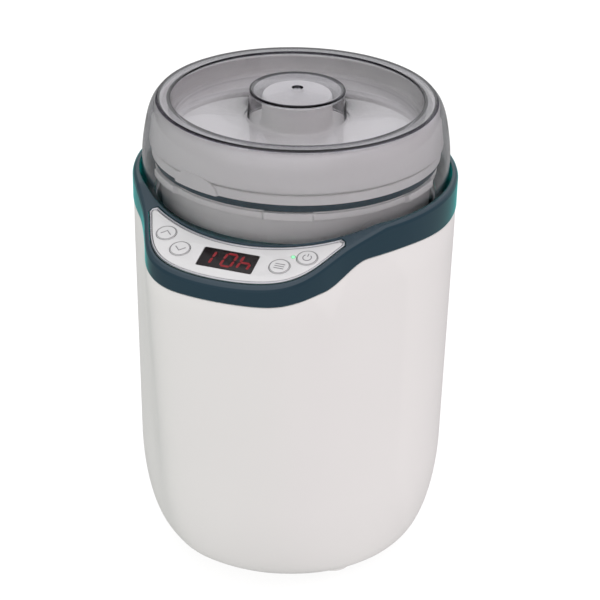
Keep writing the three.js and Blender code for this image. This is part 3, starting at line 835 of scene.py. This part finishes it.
def cap_section(angle):
    """The cap: a dish with a tall rim. An arched thumb tab stands up from its flange at the front left."""
    share = (angle - TAB_MIDDLE) / math.degrees(TAB_HALF_WIDTH / TAB_R)
    arch = CAP_FLANGE_Z + TAB_HEIGHT * math.sqrt(max(1 - share * share, 0))
    out = CAP_FLANGE_R + (TAB_R - CAP_FLANGE_R) * smoothstep(arch, CAP_FLANGE_Z, CAP_FLANGE_Z + 1.5)
    outer = flowing([
        (76.85, CAP_SKIRT_Z), (76.9, 240.4), (76.3, CAP_TOP_Z), (75, 249.1), (73.3, 253.1), (71.9, 255),
    ])
    inner = flowing([(70.2, 254.8), (71.1, 252.4), (72.8, 248.2), (73.6, 245.6)])
    under_boss = CAP_BOSS_Z - 2.2
    tab_top = max(arch, CAP_SKIRT_Z) + 0.01
    behind_tab = [(r, max(z, arch)) for r, z in outer if z <= tab_top]
    above_tab = [(r, z) for r, z in outer if z > tab_top]
    return [
        *rounded([(66, 242, 1.5), (66, 224, 0.5), (68.5, 224, 0.5), (68.5, CAP_FLANGE_Z, 0.3)]),
        (out, CAP_FLANGE_Z), (out, arch), (CAP_FLANGE_R, arch + 0.002), (CAP_FLANGE_R, max(235.4, arch)),
        (75.4, max(235.8, arch)), (74, max(235.8, arch)), (74, max(237, arch)), (76.4, max(237.2, arch)),
        *behind_tab,
        *above_tab,
        (71.3, 255.6), (70.5, 255.5),
        *inner,
        *rounded([
            (73.6, 245.6, 0), (72.9, CAP_TOP_Z, 1), (18.6, CAP_TOP_Z, 1.6), (17.8, CAP_BOSS_Z, 1.4),
            (CORE_R, CAP_BOSS_Z, 0), (CORE_R, under_boss, 0), (15.6, under_boss, 1), (16.4, 242, 1),
        ]),
    ]


def make_cap():
    dress(ring(cap_section, 720), "tub_cap", "inner_cap", "cap_plastic", ["inner_cap"])
    inner_r, low, high = 69.2, 226.8, 230.7
    section = rounded([
        (inner_r, low, 0.5), (74.6, low, 1), (75, 228.7, 1), (74.6, high, 1), (inner_r, high, 0.5),
    ])
    dress(turned(section, 240), "cap_seal", "inner_cap", "seal_rubber", ["seal_ring"])


def make_lid():
    """The dome, its dished top and the hollow knob, as one clear wall."""
    low = 212
    dome = flowing([
        (LID_R, low), (81.35, 220), (81, 231.5), (79.8, 241), (78.1, 249.4), (76, 255), (73.6, 258.2),
    ])
    under = flowing([
        (72.3, 256.6), (74.2, 254.3), (76.2, 249.2), (77.9, 240.7), (79.15, 231.4), (79.55, 220),
        (LID_R - LID_WALL, low),
    ])
    top = rounded([
        (*dome[-1], 0), (72.8, 259, 0.5), (66.2, 258.8, 0.6), (64.9, 249, 1), (64.2, LID_FLOOR_Z, 1.8),
        (26.2, LID_FLOOR_Z, 1.4), (25.2, 258, 0), (25, KNOB_TOP_Z - 0.5, 0.8), (13, KNOB_TOP_Z - 0.2, 0),
        (2.9, KNOB_TOP_Z, 0.3), (2.2, 262.2, 0.4), (CORE_R, 262, 0),
    ], closed=False)
    ceiling = LID_FLOOR_Z - LID_WALL
    beneath = rounded([
        (CORE_R, 260.3, 0), (23.3, 260.9, 1.2), (24.8, LID_FLOOR_Z - 0.6, 2.2), (29, ceiling, 0),
        (65.6, ceiling, 2), (66.8, 250, 1.5), (67.8, 257, 0.5), (71.7, 257.2, 0.5), (*under[0], 0),
    ], closed=False)
    foot = [(79.85, 210.6), (80.3, 210.3), (80.9, 210.3), (81.25, 210.6)]
    mesh = turned(beneath[:-1] + under + foot + dome + top[1:], 300, 20)
    dress(mesh, "dome_lid", "outer_lid", "lid_clear", ["outer_lid"])


# ---- studio ----
def studio_light(nodes, links, seen, soft, sharp):
    """One brightness for the camera, one for paths that light matt surfaces and one for reflections."""
    path = nodes.new("ShaderNodeLightPath")
    matt = arithmetic(nodes, links, "GREATER_THAN", path.outputs["Diffuse Depth"], 0.5)
    bounced = mixed(nodes, links, matt, sharp, soft)
    return mixed(nodes, links, path.outputs["Is Camera Ray"], bounced, (seen, seen, seen))


def make_world():
    """White behind the object, soft light all round, and dark flags at the sides in reflections."""
    world = bpy.data.worlds.new("studio")
    bpy.context.scene.world = world
    world.use_nodes = True
    nodes, links = world.node_tree.nodes, world.node_tree.links
    split = nodes.new("ShaderNodeSeparateXYZ")
    links.new(nodes.new("ShaderNodeTexCoord").outputs["Generated"], split.inputs["Vector"])
    across, up = split.outputs["X"], split.outputs["Z"]
    around = blend(nodes, links, across, -1, 0.6, (1.02, 1.08, 1.02), (1.32, 1.23, 1.26))
    soft = blend(nodes, links, up, 0.7, 0.95, around, (2.0, 1.95, 1.98))
    height = blend(nodes, links, up, 0, 0.35, (0.12, 0.13, 0.14), (0.5, 0.5, 0.53))
    aside = arithmetic(nodes, links, "ABSOLUTE", across)
    sides = blend(nodes, links, aside, 0.4, 0.8, height, (0.03, 0.03, 0.035))
    overhead = blend(nodes, links, up, 0.4, 0.75, sides, (0.85, 0.85, 0.88))
    sharp = blend(nodes, links, across, -0.5, -0.25, sides, overhead)
    links.new(studio_light(nodes, links, 1.0, soft, sharp), nodes["Background"].inputs["Color"])


def make_floor():
    """A pale sheet under the object. It is turned so that its diagonal runs across the view."""
    across_view = math.radians(64.4)
    bpy.ops.mesh.primitive_plane_add(size=12, location=(0, 0, 0), rotation=(0, 0, across_view))
    floor = bpy.context.object
    floor.name = "floor"
    surface = bpy.data.materials.new("floor")
    surface.use_nodes = True
    nodes, links = surface.node_tree.nodes, surface.node_tree.links
    shader = nodes["Principled BSDF"]
    shader.inputs["Base Color"].default_value = (0.2, 0.2, 0.2, 1)
    shader.inputs["Roughness"].default_value = 1
    shader.inputs["Specular IOR Level"].default_value = 0
    glow = studio_light(nodes, links, 0.82, (0.88, 0.88, 0.86), (0.05, 0.06, 0.06))
    links.new(glow, shader.inputs["Emission Color"])
    shader.inputs["Emission Strength"].default_value = 1
    floor.data.materials.append(surface)


def make_rear_panel():
    """A wide, weak light behind and above the object."""
    data = bpy.data.lights.new("panel_rear", "AREA")
    data.shape = "RECTANGLE"
    data.size, data.size_y = 1.6, 0.5
    data.energy = 1.2
    light = new_object("panel_rear", data)
    light.location = (-0.1, 1.3, 0.95)
    toward_object = Vector((0, 0, 0.2)) - light.location
    light.rotation_euler = toward_object.to_track_quat("-Z", "Y").to_euler()


make_camera()
dress_cad_nodes()
make_shell()
make_gland()
make_feet()
make_collar()
make_fascia()
make_digits()
make_buttons()
make_well()
make_container()
make_cap()
make_lid()
make_world()
make_floor()
make_rear_panel()
bpy.context.scene.view_settings.view_transform = "Standard"
